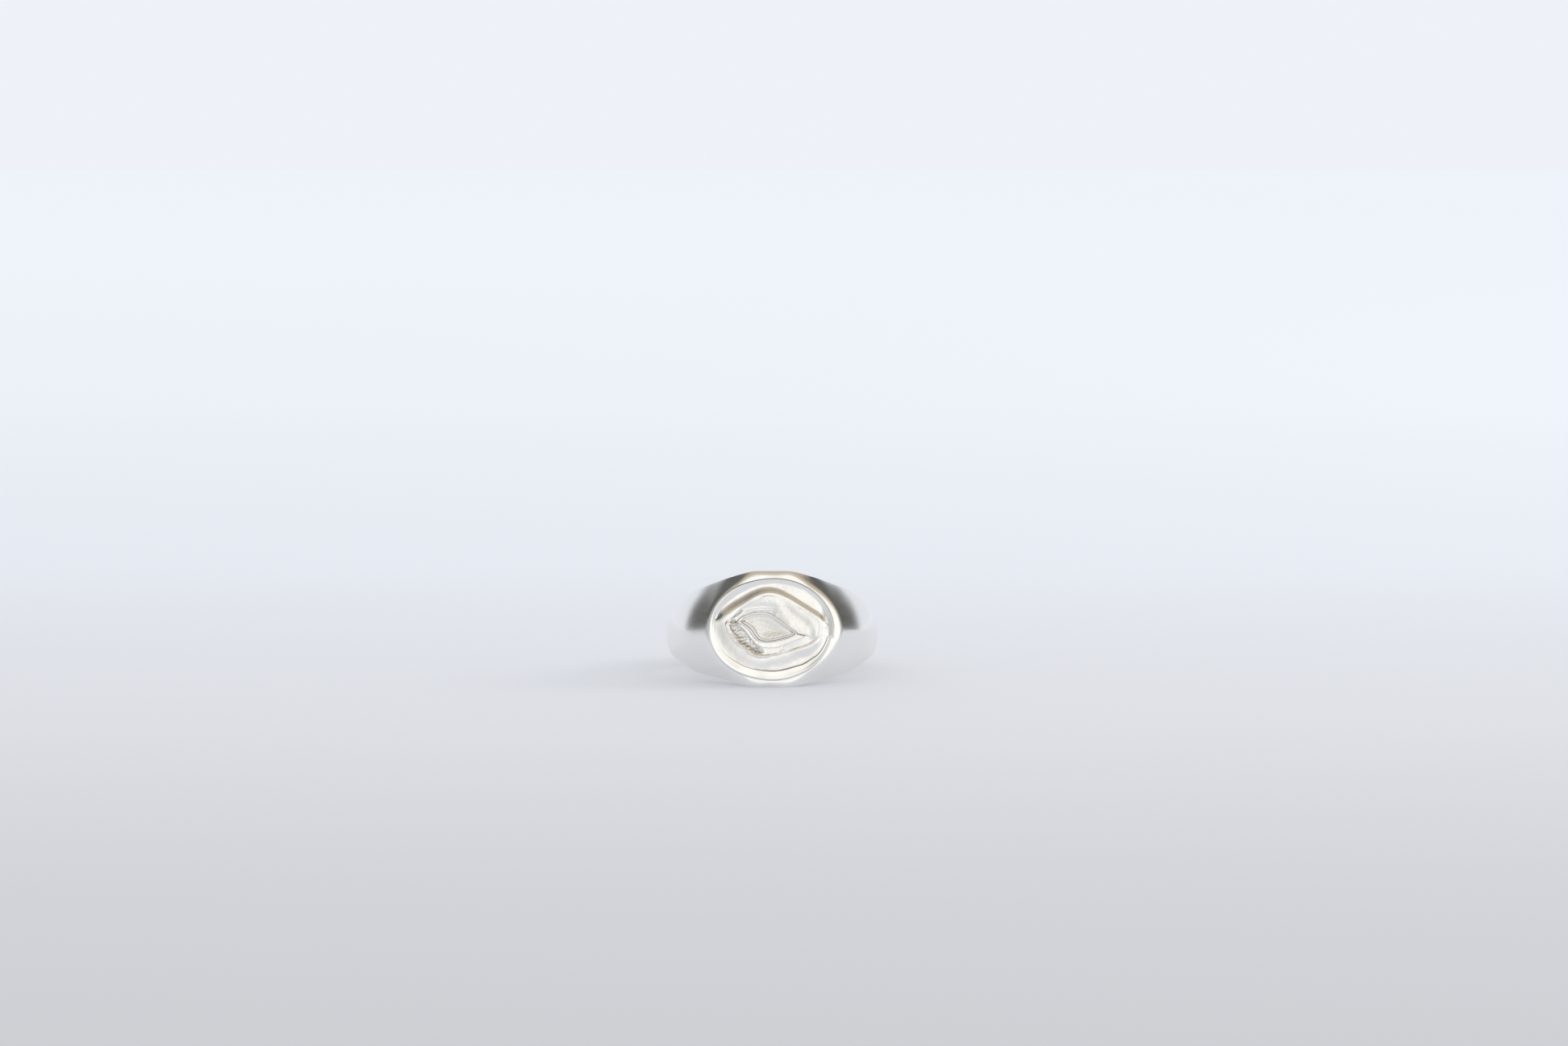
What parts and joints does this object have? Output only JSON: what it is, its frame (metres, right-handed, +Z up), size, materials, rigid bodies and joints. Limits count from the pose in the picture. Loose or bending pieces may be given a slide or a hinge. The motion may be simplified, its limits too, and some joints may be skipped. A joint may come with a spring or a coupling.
{
  "type": "signet ring",
  "caption": "Silver signet ring with an oval rimmed head, a dished face with a nested shell-like relief, and broad shoulders that narrow to a domed band; lying on its side.",
  "frame": {"origin": "on the surface that the ring lies on, below the centre of its bounding box", "axes": "+Z up, -Y towards the oval face, +X to the right of someone who looks at the face; the ring lies on its side, so its finger hole points up and leans 10.5 degrees back, and the face looks along -Y and 10.5 degrees up"},
  "size_m": [0.0214, 0.023, 0.0114],
  "materials": {
    "polished_silver": "polished",
    "cast_silver": "satin",
    "hard_solder": "gloss"
  },
  "bodies": {
    "root": {"head": "polished_silver", "shank": "polished_silver", "solder_seam_left": "hard_solder", "solder_seam_right": "hard_solder", "rim_wire": "polished_silver", "face_plate": "polished_silver", "relief_mantle": "polished_silver", "relief_lip": "polished_silver", "relief_core": "cast_silver"}
  },
  "joints": []
}
